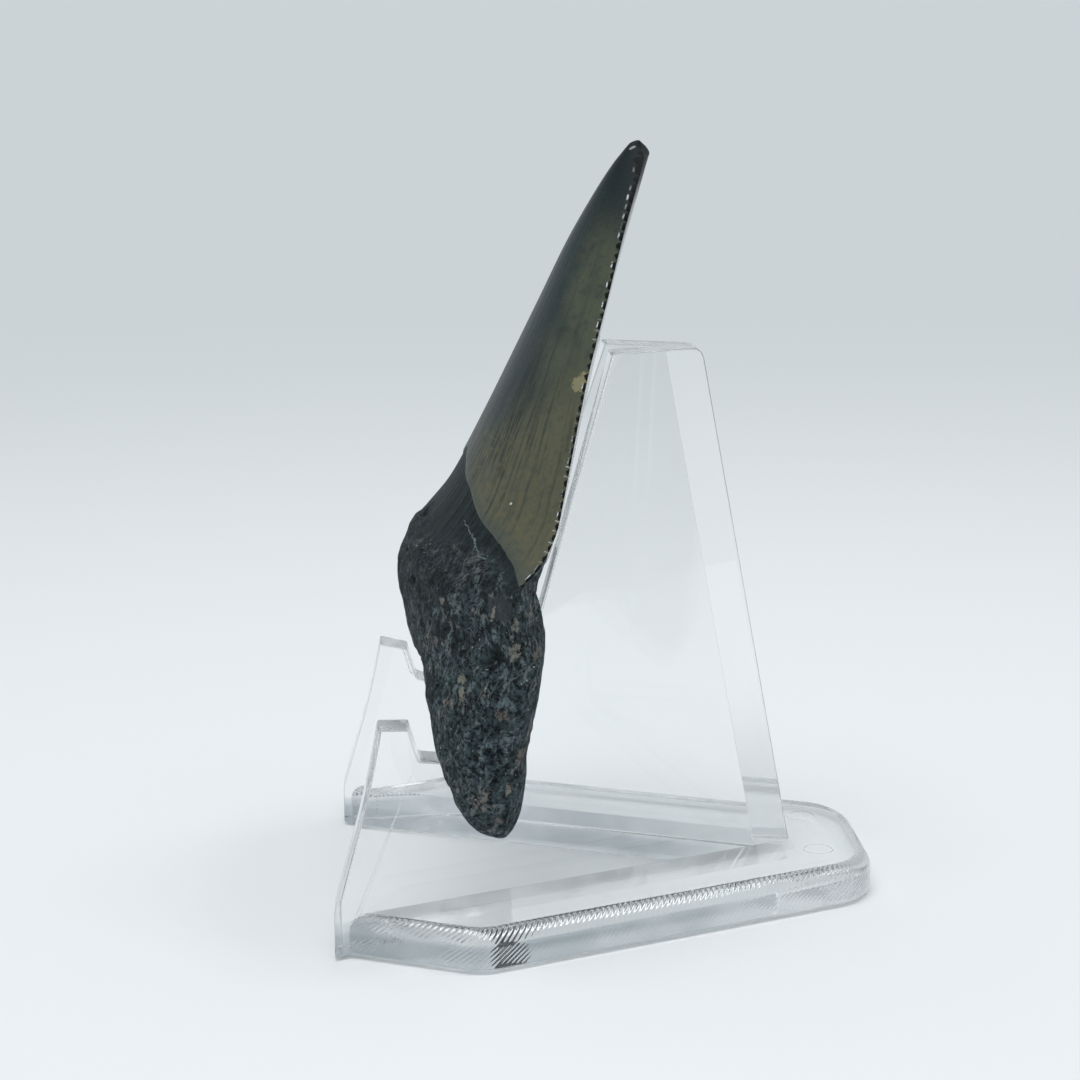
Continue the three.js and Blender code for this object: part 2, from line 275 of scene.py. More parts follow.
def make_tooth():
    """The two faces share their rim and close into one mesh, whose points then sink along their
    normals by the depth of the enamel's step and of the root's lumps and pits."""
    x, height, tongue, lip, across = tooth_faces()
    cut = serrated(x, height, across)
    x = x - np.sign(across) * SERRATION_DEPTH * cut
    middle = (tongue + lip) / 2
    tongue = tongue + (middle - tongue) * SERRATION_THINNING * cut
    lip = lip + (middle - lip) * SERRATION_THINNING * cut

    # the broken tip falls away towards the lip side
    at_tip = TIP_SLANT * ease(height, TOOTH_LENGTH - 1.8, TOOTH_LENGTH)
    count = x.size
    index = np.arange(count).reshape(x.shape)
    rim = np.zeros(x.shape, bool)
    rim[[0, -1], :] = True
    rim[:, [0, -1]] = True
    back = np.where(rim, index, index + count)
    local = np.concatenate([
        np.stack([x, face, height - at_tip * (TIP_MIDDLE - face)], -1).reshape(-1, 3)
        for face in (tongue, lip)
    ])
    faces = np.concatenate([grid_faces(index, True), grid_faces(back, False)])
    kept, faces = np.unique(faces, return_inverse=True)
    faces = faces.reshape(-1, 4)
    face_side = np.repeat([1.0, -1.0], count)
    face_side[:count][rim.ravel()] = 0
    local = local[kept]
    face_side = face_side[kept]
    spread = np.tile(across.ravel(), 2)[kept]
    rows = np.tile(np.repeat(np.arange(len(x)), x.shape[1]), 2)[kept]

    cos, sin = math.cos(TOOTH_LEAN), math.sin(TOOTH_LEAN)
    lean = np.array([[1, 0, 0], [0, -cos, sin], [0, sin, cos]])
    points = (local @ lean + TOOTH_FOOT) * MM
    piece = new_piece("fossil_tooth", points, faces)

    # where each point lies: its height, its distance from the middle, and how far it is above the
    # enamel's lower edge and inside the cutting edge (well inside, all over the root)
    well_inside = 9.0
    depth, w = local[:, 1], local[:, 2]
    off_middle = np.abs(local[:, 0])
    on_tongue = face_side >= 0
    line = np.where(on_tongue, enamel_line_tongue(off_middle), enamel_line_lip(off_middle))
    waver = (lumps(local, 1.6) - 0.5) * 0.16 + (lumps(local + 7, 0.5) - 0.5) * 0.07
    above = w - line + waver
    inside_edge = np.where(w > SHOULDER_HEIGHT, edge_half_width(w) - off_middle, well_inside)
    band = np.where(on_tongue, blend(5.0, 0.6, ease(off_middle, 3, 17)), 0.6)
    root = ease(-above, band - 0.5, band + 1.1)

    # relief: the enamel stands proud of the band below it, and the root is lumpy and pitted, with a
    # ledge and a dent on its tongue side; it stays flat where it meets the stand's walls
    broad = lumps(local, (4.2, 4.2, 5.5))
    fibre = lumps(local + 3, (0.9, 0.9, 2.0))
    pits = ease(lumps(local + 19, (1.1, 1.1, 1.5)), 0.66, 0.86)
    fine = lumps(local + 31, 0.55)
    sink = 0.02 * (1 - lumps(local, 2.5)) * ease(above, 0, 2)
    sink += ENAMEL_STEP * (1 - ease(above, -0.08, 0.22))
    held = ease(off_middle, 8, 9) * (1 - ease(off_middle, 14.5, 15.5)) * (face_side <= 0)
    rough = 0.34 * broad + 0.16 * fibre + 0.30 * pits + 0.10 * fine - 0.36 * (1 - held)
    ledge = 11.2 - w - 0.8 * (lumps(local + 5, 3.0) - 0.5)
    below_ledge = ease(ledge, 0, 0.5) * np.maximum(0.28 - 0.12 * ledge, -0.3)
    fall = np.where(face_side > 0, below_ledge, 0)
    dent = ease(1 - np.hypot((depth - 3.4) / 1.1, (w - 14.3) / 2.2), 0, 0.7)
    hollow = 0.5 * dent * (local[:, 0] > 9)
    swell = 0.4 * ease(off_middle, 14.5, 16) * (1 - ease(w, 12, 17)) * (face_side < 0)
    from_rim = ease(rows.max() - rows, 0, 16)
    sink += root * (rough + fall + hollow - swell) * from_rim
    normal = np.empty(len(points) * 3, np.float32)
    piece.data.vertex_normals.foreach_get("vector", normal)
    points = points - normal.reshape(-1, 3) * sink[:, None] * MM
    piece.data.vertices.foreach_set("co", points.ravel())

    write_attribute(piece.data, "place", local)
    write_attribute(piece.data, "above_line", above)
    write_attribute(piece.data, "inside_edge", inside_edge)
    write_attribute(piece.data, "side", face_side)
    write_attribute(piece.data, "across", spread)
    write_attribute(piece.data, "rough_root", root)
    write_attribute(piece.data, "bead", rows / ROWS_PER_BEAD)
    piece.data.shade_smooth()
    piece.data.update()
    return piece


class Wire:
    """One socket in a material's nodes. Arithmetic on wires and numbers adds Math nodes, and
    `node` adds any other node: its settings first, then what goes into its sockets."""

    def __init__(self, tree, socket=None):
        self.tree, self.socket = tree, socket

    def node(self, kind, settings=None, out=0, **sockets):
        """Sockets go by identifier, with _ for a space; out is the output's number or name."""
        made = self.tree.nodes.new(kind)
        for name, value in (settings or {}).items():
            setattr(made, name, value)
        for name, value in sockets.items():
            socket = next(s for s in made.inputs if s.identifier.replace(" ", "_") == name)
            if isinstance(value, Wire):
                self.tree.links.new(value.socket, socket)
            else:
                socket.default_value = value
        if isinstance(out, str):
            out = next(i for i, s in enumerate(made.outputs) if s.identifier == out)
        return Wire(self.tree, made.outputs[out])

    def math(self, operation, a, b=0.0):
        """A Math node, for what has no operator below."""
        return self.node("ShaderNodeMath", {"operation": operation}, Value=a, Value_001=b)

    def __add__(self, other):
        return self.math("ADD", self, other)

    def __sub__(self, other):
        return self.math("SUBTRACT", self, other)

    def __mul__(self, other):
        return self.math("MULTIPLY", self, other)

    def __truediv__(self, other):
        return self.math("DIVIDE", self, other)

    def __rsub__(self, other):
        return self.math("SUBTRACT", other, self)

    def __abs__(self):
        return self.math("ABSOLUTE", self)

    __radd__ = __add__
    __rmul__ = __mul__

    def ease(self, low, high):
        """0 up to low, 1 from high, and a smooth S between them."""
        settings = {"interpolation_type": "SMOOTHSTEP"}
        return self.node("ShaderNodeMapRange", settings, Value=self, From_Min=low, From_Max=high)

    def mix(self, low, high):
        """The low colour where this share is 0, the high one where it is 1."""
        settings = {"data_type": "RGBA"}
        return self.node(
            "ShaderNodeMix", settings, "Result_Color", Factor_Float=self, A_Color=low, B_Color=high,
        )

    def tint(self, colour, share):
        """This colour, turned into another by a share of 0 to 1."""
        return share.mix(self, colour)

    def part(self, axis):
        """One number of this vector: axis 0, 1 or 2."""
        return self.node("ShaderNodeSeparateXYZ", None, axis, Vector=self)

    def stretch(self, scale):
        """This place with each axis multiplied."""
        settings = {"operation": "MULTIPLY"}
        return self.node("ShaderNodeVectorMath", settings, Vector=self, Vector_001=scale)

    def noise(self, scale, detail=2.0, rough=0.5, warp=0.0):
        """Cloudy noise at this place, around a half."""
        return self.node(
            "ShaderNodeTexNoise", None, "Fac", Vector=self, Scale=scale, Detail=detail,
            Roughness=rough, Distortion=warp,
        )

    def read(self, name, out="Fac"):
        """A number that the mesh stores under this name, or a vector if out is Vector."""
        return self.node("ShaderNodeAttribute", {"attribute_name": name}, out)


def colour(red, green, blue):
    """A screen colour, 0 to 255, as light."""
    share = np.array([red, green, blue]) / 255
    light = np.where(share <= 0.04045, share / 12.92, ((share + 0.055) / 1.055) ** 2.4)
    return (*light.tolist(), 1.0)


def new_material(name):
    """An empty node material with its output, and the wire that its nodes start from."""
    material = bpy.data.materials.new(name)
    material.use_nodes = True
    material.node_tree.nodes.clear()
    return material, Wire(material.node_tree)


def finish_material(board, shader, volume=None):
    """Joins the surface's shader, and the volume's if there is one, to the material's output."""
    output = board.tree.nodes.new("ShaderNodeOutputMaterial")
    board.tree.links.new(shader.socket, output.inputs["Surface"])
    if volume:
        board.tree.links.new(volume.socket, output.inputs["Volume"])


def tooth_material():
    """Enamel, the band below it and the root are one material, parted by the enamel line."""
    material, board = new_material("fossil_enamel_and_root")

    place = board.read("place", "Vector")
    above, inside = board.read("above_line"), board.read("inside_edge")
    across, bead = board.read("across"), board.read("bead")
    side, root = board.read("side"), board.read("rough_root")
    height, x, depth = place.part(2), place.part(0), place.part(1)

    # enamel: olive brown near the base and the edges, slate grey up the middle, with fine
    # lengthwise streaks
    flow = board.node("ShaderNodeCombineXYZ", None, X=across * 12.0, Y=height * 0.035, Z=0.0)
    streak = flow.noise(1.0, 5.0, 0.62, 0.2)
    fine_streak = flow.noise(3.2, 3.0, 0.55, 0.1)
    cloud = place.noise(0.16, 3.0, 0.55)
    grit = place.noise(5.0, 2.0, 0.6)
    warm = (abs(across) * 0.9 + cloud * 0.6 + (31.5 - height) * 0.06).ease(0.41, 1.1)
    enamel = warm.mix(colour(30, 44, 48), colour(87, 87, 70))
    olive_edge = abs(across).ease(0.28, 0.75) * height.ease(33.0, 38.0)
    olive_edge = olive_edge * (1 - height.ease(45.0, 52.0))
    enamel = enamel.tint(colour(80, 84, 68), olive_edge * cloud.ease(0.25, 0.55) * 0.85)
    scratched = (abs(streak - 0.5) * 30.0).ease(0.0, 1.0)
    scored = (1 - abs(across).ease(0.55, 0.85)) * (1 - height.ease(36.0, 43.0))
    scored = scored * (0.55 + cloud.ease(0.4, 0.6) * 0.45)
    enamel = enamel.tint(colour(17, 24, 24), (1 - scratched) * scored * 0.85)
    mottle = place.noise(1.4, 4.0, 0.68)
    upper = height.ease(36.0, 45.0)
    enamel = enamel.tint(colour(24, 36, 39), fine_streak.ease(0.5, 0.7) * (0.45 - upper * 0.3))
    enamel = enamel.tint(colour(40, 52, 52), mottle.ease(0.48, 0.66) * (0.26 + upper * 0.22))
    brown = (1 - mottle.ease(0.3, 0.5)) * (1 - height.ease(28.0, 35.0))
    enamel = enamel.tint(colour(104, 94, 68), brown * 0.5)
    enamel = enamel.tint(colour(56, 69, 72), (1 - above.ease(0.1, 1.3)) * 0.45)
    enamel = enamel.tint(colour(98, 99, 84), grit.ease(0.55, 0.8) * 0.35)
    enamel = enamel.tint(colour(20, 29, 31), height.ease(44.0, 54.5) * 0.8)

    ragged_edge = place.noise(3.0, 3.0, 0.7)

    def spot(sideways, middle, size, ragged=1.2):
        """1 inside a small oval at (sideways, height), falling to 0 at its ragged edge."""
        off_side = (sideways - middle[0]) / size[0]
        off_height = (height - middle[1]) / size[1]
        away = off_side * off_side + off_height * off_height
        return 1 - (away + (ragged_edge - 0.5) * ragged).ease(0.6, 1.2)

    # cutting edge: a black line of beads, painted highlights (glints) on some beads and in some
    # gaps, and a few chips
    tongue = side.ease(-0.5, 0.0)
    one_number = {"noise_dimensions": "1D"}
    bead_chance = board.node("ShaderNodeTexWhiteNoise", one_number, "Value", W=board.math("FLOOR", bead))
    along_bead = abs(board.math("FRACT", bead) - 0.5)
    enamel = enamel.tint(colour(128, 123, 94), spot(x, (11.7, 36.1), (0.75, 0.85), 3.5))
    enamel = enamel.tint(colour(190, 192, 184), spot(x, (12.9, 25.8), (0.11, 0.11)))
    black_width = 0.36 + bead_chance * 0.18 - along_bead * 0.5 + (ragged_edge - 0.5) * 0.35
    enamel = enamel.tint(colour(3, 4, 6), (black_width - inside).ease(0.0, 0.09) * tongue)
    # painted highlight: pale dashes just inside the edge on some beads, and short ticks in some
    # gaps, stand in for light glinting on the serrations
    glint = 1 - abs(inside - bead_chance * 0.1 - 0.27).ease(0.02, 0.08)
    glint = glint * (1 - along_bead.ease(0.1, 0.38))
    gap_glint = along_bead.ease(0.36, 0.44) * (1 - abs(inside - 0.32).ease(0.1, 0.2))
    gap_glint = gap_glint * (1 - bead_chance.ease(0.12, 0.24)) * (1 - height.ease(36.0, 44.0))
    below_tip = grit.ease(0.3, 0.55) * (1 - height.ease(51.5, 53.0)) * tongue
    painted_glints = glint * bead_chance.ease(0.4, 0.8) + gap_glint * 0.65
    enamel = enamel.tint(colour(206, 212, 214), painted_glints * below_tip)
    enamel = enamel.tint(colour(138, 145, 146), spot(x, (0.6, 54.1), (0.1, 0.2)) * tongue)

    # band under the enamel and the root: charcoal, mottled with pale fibres and worn cream chips
    tall = place.stretch((1.0, 1.0, 0.62))
    fibres = place.noise(2.4, 5.0, 0.75)
    hair = 1 - (abs(tall.noise(0.9, 3.0, 0.6, 0.8) - 0.5) * 26.0).ease(0.0, 1.0)
    marks = tall.noise(1.15, 5.0, 0.72, 0.5)
    zone = place.noise(0.3, 3.0, 0.6, 0.4)
    blotch = place.noise(0.55, 3.0, 0.6, 0.4)
    flecks = place.noise(3.4, 2.0, 0.4)
    smooth_top = (height * 0.6 + depth).ease(17.0, 20.0)
    grain_share = fibres.ease(0.4, 0.6) * (1 - smooth_top * 0.4)
    bone = grain_share.mix(colour(7, 14, 16), colour(72, 87, 92))
    bone = bone.tint(colour(8, 15, 17), zone.ease(0.5, 0.6) * 0.6)
    below_top = 0.9 - smooth_top * 0.7
    grey_fibres = marks.ease(0.52, 0.62) * fibres.ease(0.36, 0.58)
    rosy_fibres = (marks * blotch).ease(0.31, 0.36) * fibres.ease(0.4, 0.58)
    bone = bone.tint(colour(126, 141, 146), grey_fibres * below_top)
    hair = hair * blotch.ease(0.42, 0.6) * (0.65 - smooth_top * 0.45)
    bone = bone.tint(colour(126, 138, 140), hair)
    bone = bone.tint(colour(146, 136, 129), rosy_fibres * below_top)
    bone = bone.tint(colour(200, 206, 204), flecks.ease(0.72, 0.77) * 0.85)

    # worn patch and chips on the root's right end, at (depth, height) with their size
    right_end = x.ease(9.0, 10.0)
    worn_patch = spot(depth, (4.2, 18.9), (1.0, 1.0), 0.8)
    bone = bone.tint(colour(64, 70, 76), worn_patch * right_end * 0.85)
    cream, rosy = colour(152, 150, 139), colour(128, 119, 114)
    for middle, size, shade in [
        ((8.36, 17.4), (0.22, 0.3), cream), ((7.98, 14.0), (0.2, 0.4), rosy),
        ((5.74, 12.4), (0.25, 0.3), cream), ((5.37, 11.4), (0.28, 0.6), cream),
        ((2.46, 15.9), (0.4, 0.75), cream), ((0.54, 15.8), (0.3, 0.5), rosy),
        ((2.2, 10.8), (0.55, 0.35), rosy), ((0.33, 7.8), (0.3, 0.6), rosy),
        ((0.57, 5.3), (0.25, 0.5), cream), ((0.6, 2.5), (0.3, 0.4), rosy),
        ((2.76, 18.0), (0.3, 0.6), cream), ((4.7, 18.3), (0.12, 0.6), cream),
    ]:
        chip = spot(depth, middle, size, 7.0) * right_end * fibres.ease(0.3, 0.52)
        bone = bone.tint(shade, chip * 0.9)
    band_share = fine_streak.ease(0.38, 0.66) * 0.5 + fibres.ease(0.35, 0.65) * 0.5
    band = band_share.mix(colour(8, 15, 17), colour(34, 46, 49))

    def crack(start, end):
        """1 along a hairline crack between two (x, height) points, 0 a little to its sides."""
        run = (end[0] - start[0], end[1] - start[1])
        reach = run[0] * run[0] + run[1] * run[1]
        off_x = x + (blotch - 0.5) * 2.0 - start[0]
        off_height = height + (marks - 0.5) * 0.8 - start[1]
        along = (off_x * run[0] + off_height * run[1]) / reach
        along = board.node("ShaderNodeClamp", Value=along)
        miss_x, miss_height = off_x - along * run[0], off_height - along * run[1]
        return 1 - (miss_x * miss_x + miss_height * miss_height).ease(0.0001, 0.0014)

    lower = band.tint(bone, root)
    fork = (13.2, 22.1)
    for start, end in [((9.6, 23.2), fork), (fork, (15.4, 21.5)), (fork, (14.5, 20.3))]:
        lower = lower.tint(colour(132, 147, 150), crack(start, end) * tongue * 0.6)
    on_crown = above.ease(-0.03, 0.05)
    surface = lower.tint(enamel, on_crown)

    roughness = (1 - on_crown) * (0.6 + root * 0.1) + on_crown * (0.3 + streak * 0.14)
    grain = tall.noise(3.2, 8.0, 0.72)
    longer = place.stretch((1.0, 1.0, 0.5))
    one_point = {"feature": "F1"}
    pores = board.node("ShaderNodeTexVoronoi", one_point, "Distance", Vector=longer, Scale=2.4)
    relief = root * (grain * 0.5 + fibres * 0.3 + pores.ease(0.0, 0.45) * 0.16)
    relief = relief + (1 - root) * (1 - on_crown) * fine_streak * 0.12
    relief = relief + on_crown * (streak * 0.035 + place.noise(3.0, 3.0) * 0.01)
    bump = board.node("ShaderNodeBump", None, "Normal", Strength=1.0, Distance=MM, Height=relief)
    lip_gloss = (1 - tongue) * on_crown * (1 - height.ease(49.5, 52.5))
    shader = board.node(
        "ShaderNodeBsdfPrincipled", None, Base_Color=surface, Roughness=roughness, IOR=1.5,
        Specular_IOR_Level=0.1, Coat_Weight=lip_gloss, Coat_Roughness=0.06, Sheen_Weight=0.03,
        Sheen_Roughness=0.5, Normal=bump,
    )
    finish_material(board, shader)
    return material


tooth = make_tooth()
tooth.data.materials.append(tooth_material())
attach(tooth, "root")
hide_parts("tooth")

# ------------------------------------------------------------------------------ display stand
# The stand is one clear acrylic moulding: two upright walls that meet in a V at the back, each
# with a front prong and a notch, on a flat foot that flanges outwards.

WALL = 3.0  # thickness, square to the face
V_DEPTH = 38.5  # front of the walls to the strip where they meet
V_HALF_ANGLE = math.radians(23.5)
STRIP_HALF_WIDTH = 1.8
RAKE = math.tan(math.radians(10.3))  # the walls' back leans forward as it rises
STAND_HEIGHT = 45.0
PRONG_TOP = (3.55, 17.3)
SHELF_FRONT = (6.7, 14.4)
SHELF_BACK = (12.95, 13.1)
REST_TOP = 22.7  # front of the narrow top of the back rest
EDGE_SOFTNESS = 0.09
FOOT_HEIGHT = 3.1
FOOT_DEPTH = 2 * HALF_FOOT_DEPTH
FOOT_EDGE_ROUND = 1.3
UNDERSIDE = 0.01
SIDE_START = 0.13  # top of the small bevel along the foot's lower edge
LOWER_BEVEL = 0.12
FLANGE_WIDTH = 8.2  # the foot's reach outside a wall
FLANGE_START = 1.1
FLANGE_CORNER = 11.3
REAR_CORNER = 42.7
REAR_HALF_WIDTH = 5.8
FOOT_SAMPLES = 2400  # points round the foot's outline
FOOT_SIDE_ROWS = 22
FOOT_ROUND_ROWS = 15
RIPPLE_PITCH = 0.5
RIPPLE_SLANT = 1.3
RIPPLE_DEPTH = 0.08
SMALL_FACE = 0.4  # square millimetres; a wall's face below this belongs to a rounding
SAME_DIRECTION = 0.999998  # cosine above which two faces count as facing the same way


def half_width(y, offset=0.0):
    """Half width of the V at a distance behind the front, for a face set off square to the wall."""
    spread = (V_DEPTH - y) * math.tan(V_HALF_ANGLE)
    return STRIP_HALF_WIDTH + spread + offset / math.cos(V_HALF_ANGLE)


def outline(corners, steps):
    """A closed outline from corners (x, y, radius), each rounded corner as a parabola of points."""
    spots = np.array([c[:2] for c in corners], float)
    line = []
    for i, corner in enumerate(corners):
        radius = corner[2] if len(corner) > 2 else 0.0
        ends = [spots[i - 1] - spots[i], spots[(i + 1) % len(spots)] - spots[i]]
        if radius == 0:
            line.append(spots[i][None])
            continue
        entry, leave = [spots[i] + e / np.linalg.norm(e) * radius for e in ends]
        t = np.linspace(0, 1, steps + 1)[:, None]
        line.append(entry * (1 - t) ** 2 + spots[i] * 2 * t * (1 - t) + leave * t**2)
    return np.concatenate(line)


def make_walls():
    """Both walls: the side profile stands on the outer and the inner plane of the V, a rim joins
    the two, and the right half is mirrored to the left and welded down the middle."""
    back_top = V_DEPTH - STAND_HEIGHT * RAKE
    profile = outline([
        (0, 0), (0, FOOT_HEIGHT + 0.4, 0.3), (2.55, 12.3, 3), (*PRONG_TOP, 0.2), (5.95, 17.0, 0.2),
        (*SHELF_FRONT, 0.3), (*SHELF_BACK, 0.5), (REST_TOP, STAND_HEIGHT, 0.2),
        (back_top, STAND_HEIGHT, 0.9), (V_DEPTH, 0),
    ], 4)
    y, z = profile.T
    run = y + RAKE * z
    meeting = V_DEPTH + half_width(V_DEPTH, -WALL) / math.tan(V_HALF_ANGLE)
    rear = run > meeting
    front = ~rear
    apex = [[0, meeting - RAKE * STAND_HEIGHT, STAND_HEIGHT], [0, meeting, 0]]
    outer = np.stack([half_width(run), y, z], 1)
    inner = np.concatenate([np.stack([half_width(run, -WALL), y, z], 1)[front], apex])
    middle = np.stack([0 * y, y, z], 1)[rear]
    points = np.concatenate([outer, inner, middle])
    n, m = len(y), int(front.sum())
    inner_0, apex_top, apex_foot, middle_0 = n, n + m, n + m + 1, n + m + 2
    faces = [list(range(n))[::-1], list(range(inner_0, middle_0))]
    faces += [[i, i + 1, inner_0 + i + 1, inner_0 + i] for i in range(m - 1)]
    faces += [[m - 1, m, middle_0, apex_top, inner_0 + m - 1]]
    faces += [[j, j + 1, middle_0 + j + 1 - m, middle_0 + j - m] for j in range(m, n - 1)]
    faces += [[n - 1, 0, inner_0, apex_foot, len(points) - 1]]
    mirrored = [[len(points) + i for i in f][::-1] for f in faces]
    walls = new_piece("walls", np.concatenate([points, points * (-1, 1, 1)]) * MM, faces + mirrored)
    mesh = bmesh.new()
    mesh.from_mesh(walls.data)
    bmesh.ops.remove_doubles(mesh, verts=mesh.verts, dist=1e-7)
    mesh.to_mesh(walls.data)
    mesh.free()
    soften = walls.modifiers.new("soft_edges", "BEVEL")
    soften.width, soften.segments = EDGE_SOFTNESS * MM, 3
    soften.limit_method, soften.angle_limit = "ANGLE", math.radians(35)
    return walls


def make_foot():
    """The foot: its plan outline carried up a side and over a quarter round. The slanted ripples
    that the cutter left in the mould are a wave of (distance round the outline less a share of
    the height), deep on the rounding, weaker at the corners and faint on the straight sides."""
    right = [
        (half_width(FLANGE_START) - 0.1, FLANGE_START),
        (half_width(FLANGE_CORNER, FLANGE_WIDTH), FLANGE_CORNER, 1.6),
        (half_width(REAR_CORNER, FLANGE_WIDTH), REAR_CORNER, 1.7),
        (REAR_HALF_WIDTH, FOOT_DEPTH, 1.7),
    ]
    left = [(-c[0], *c[1:]) for c in right[::-1]]
    plan = outline([*right, *left], 24)
    closed = np.concatenate([plan, plan[:1]])
    steps = np.hypot(*np.diff(closed, axis=0).T)
    run = np.concatenate([[0], np.cumsum(steps)])
    s = np.linspace(0, run[-1], FOOT_SAMPLES, endpoint=False)
    x, y = [np.interp(s, run, c) for c in closed.T]
    along = np.stack([np.roll(x, -1) - np.roll(x, 1), np.roll(y, -1) - np.roll(y, 1)])
    along /= np.hypot(*along)
    out_x, out_y = along[1], -along[0]

    turn = np.linspace(0, math.pi / 2, FOOT_ROUND_ROWS)
    side = np.linspace(SIDE_START, FOOT_HEIGHT - FOOT_EDGE_ROUND, FOOT_SIDE_ROWS + 1)[:-1]
    inset = np.concatenate([[LOWER_BEVEL], 0 * side, FOOT_EDGE_ROUND * (1 - np.cos(turn))])[:, None]
    lift = FOOT_HEIGHT - FOOT_EDGE_ROUND + FOOT_EDGE_ROUND * np.sin(turn)
    z = np.concatenate([[UNDERSIDE], side, lift])[:, None]
    tilt = np.concatenate([[0], 0 * side, turn])[:, None]
    near = 38  # samples either side over which a corner's bend is felt
    bend = np.hypot(*[np.roll(part, -near) - np.roll(part, near) for part in (out_x, out_y)])
    corner = ease(bend, 0.05, 0.3)
    ribbed = blend(0.1 + 0.3 * corner, 1.0, ease(tilt, 0.15, 0.5))
    ribbed = ribbed * ease(z, SIDE_START, 0.6) * ease(math.pi / 2 - tilt, 0.02, 0.4)
    wave = 0.5 - 0.5 * np.sin(2 * math.pi * (s - RIPPLE_SLANT * z) / RIPPLE_PITCH)
    groove = wave * ribbed * RIPPLE_DEPTH
    inset = inset + groove * np.cos(tilt)
    points = np.stack([x - out_x * inset, y - out_y * inset, z - groove * np.sin(tilt)], -1)
    rows, columns = points.shape[:2]
    index = np.arange(rows * columns).reshape(rows, columns)
    wrapped = np.concatenate([index, index[:, :1]], axis=1)
    faces = [*grid_faces(wrapped, False).tolist(), index[0][::-1].tolist(), index[-1].tolist()]
    foot = new_piece("foot", points.reshape(-1, 3) * MM, faces)
    mesh = bmesh.new()
    mesh.from_mesh(foot.data)
    bmesh.ops.triangulate(mesh, faces=[face for face in mesh.faces if len(face.verts) > 4])
    mesh.to_mesh(foot.data)
    mesh.free()
    return foot


def inner_gap():
    """A prism that leans with the walls, a little wider than the open middle of the V, so that
    what it leaves of the foot ends inside the walls."""
    wide = -0.8 * WALL
    front, low, high = -6.0, -6.0, FOOT_HEIGHT + 6.0
    apex = V_DEPTH + half_width(V_DEPTH, wide) / math.tan(V_HALF_ANGLE)
    plan = [(-half_width(front, wide), front), (half_width(front, wide), front), (0, apex)]
    points = np.array([(x, y - RAKE * z, z) for z in (low, high) for x, y in plan])
    faces = [[2, 1, 0], [3, 4, 5], [0, 1, 4, 3], [1, 2, 5, 4], [2, 0, 3, 5]]
    return new_piece("gap", points * MM, faces)


def combine(piece, other, operation):
    """Adds the other solid to the piece or takes it away, and removes the other."""
    joint = piece.modifiers.new(operation.lower(), "BOOLEAN")
    joint.operation, joint.object, joint.solver = operation, other, "MANIFOLD"
    bpy.context.view_layer.update()
    shown = piece.evaluated_get(bpy.context.evaluated_depsgraph_get())
    shaped = bpy.data.meshes.new_from_object(shown)
    piece.modifiers.clear()
    piece.data = shaped
    bpy.data.objects.remove(other)


def face_normals(mesh):
    """The outward direction of each face, as rows of three."""
    normals = np.empty(len(mesh.polygons) * 3, np.float32)
    mesh.polygon_normals.foreach_get("vector", normals)
    return normals.reshape(-1, 3)


def make_stand():
    """Foot and walls as one moulding. Its flat faces shade flat, its roundings smooth."""
    stand = make_foot()
    combine(stand, inner_gap(), "DIFFERENCE")
    walls = make_walls()
    area = np.empty(len(walls.data.polygons), np.float32)
    walls.data.polygons.foreach_get("area", area)
    wide = face_normals(walls.data)[area > SMALL_FACE * MM * MM]
    flat = np.concatenate([wide, [(0, 0, 1), (0, 0, -1)]])
    combine(stand, walls, "UNION")
    stand.name = "clear_stand"
    shape = stand.data
    shape.transform(Matrix.Translation((0, -HALF_FOOT_DEPTH * MM, 0)))
    shape.update()
    smooth = (face_normals(shape) @ flat.T).max(axis=1) < SAME_DIRECTION
    shape.polygons.foreach_set("use_smooth", smooth)
    shape.update()
    return stand


stand = make_stand()
# Faces that don't face sideways are cut rims; faces that don't face up or down are upright.
normals = np.abs(face_normals(stand.data))
for name, axis in (("cut_rim", 0), ("upright", 2)):
    layer = stand.data.attributes.new(name, "FLOAT", "FACE")
    layer.data.foreach_set("value", 1 - ease(normals[:, axis], 0.3, 0.6))

# The acrylic is clear, with a faint smudge, a slightly frosted foot side whose front is greyed by
# painted shade, duller cut rims on the prongs, and the round marks of two ejector pins on the foot
# behind the walls.
material, board = new_material("clear_acrylic")
place = board.node("ShaderNodeTexCoord", None, "Object")
up, back, aside = [place.part(axis) / MM for axis in (2, 1, 0)]
cut_rim, upright = board.read("cut_rim"), board.read("upright")
smudge = place.noise(140.0, 4.0, 0.6)
speckle = place.noise(2600.0, 3.0, 0.7)
wave = place.noise(60.0, 1.0)
round_start = FOOT_HEIGHT - FOOT_EDGE_ROUND
low_side = (1 - up.ease(round_start - 0.3, round_start + 0.3)) * upright
front_side = low_side * (1 - back.ease(4.0, 12.0) * 0.7)
prong_rim = cut_rim * up.ease(12.5, 12.9) * (1 - up.ease(18.0, 19.0) * 0.7)
frosted = smudge.ease(0.45, 0.8) * 0.06 + 0.012
frosted = frosted + low_side * speckle.ease(0.4, 0.65) * 0.06 + prong_rim * 0.25
pin_aside, pin_back, pin_radius = 4.5, 17.8, 1.2
off_aside, off_back = abs(aside) - pin_aside, back - pin_back
from_pin = board.math("SQRT", off_aside * off_aside + off_back * off_back)
on_top = up.ease(FOOT_HEIGHT - 0.2, FOOT_HEIGHT - 0.1)
on_top = on_top * (1 - up.ease(FOOT_HEIGHT + 0.2, FOOT_HEIGHT + 0.3))
pin_mark = (1 - abs(from_pin - pin_radius).ease(0.03, 0.12)) * on_top
relief = wave + speckle * low_side * 0.12 + pin_mark * 0.9
bump = board.node("ShaderNodeBump", None, "Normal", Strength=1.0, Distance=0.02 * MM, Height=relief)
# painted shade: the foot's upright side is tinted grey towards the front, where it looks darker
painted_side_shade = front_side * (0.5 + smudge.ease(0.35, 0.65) * 0.5)
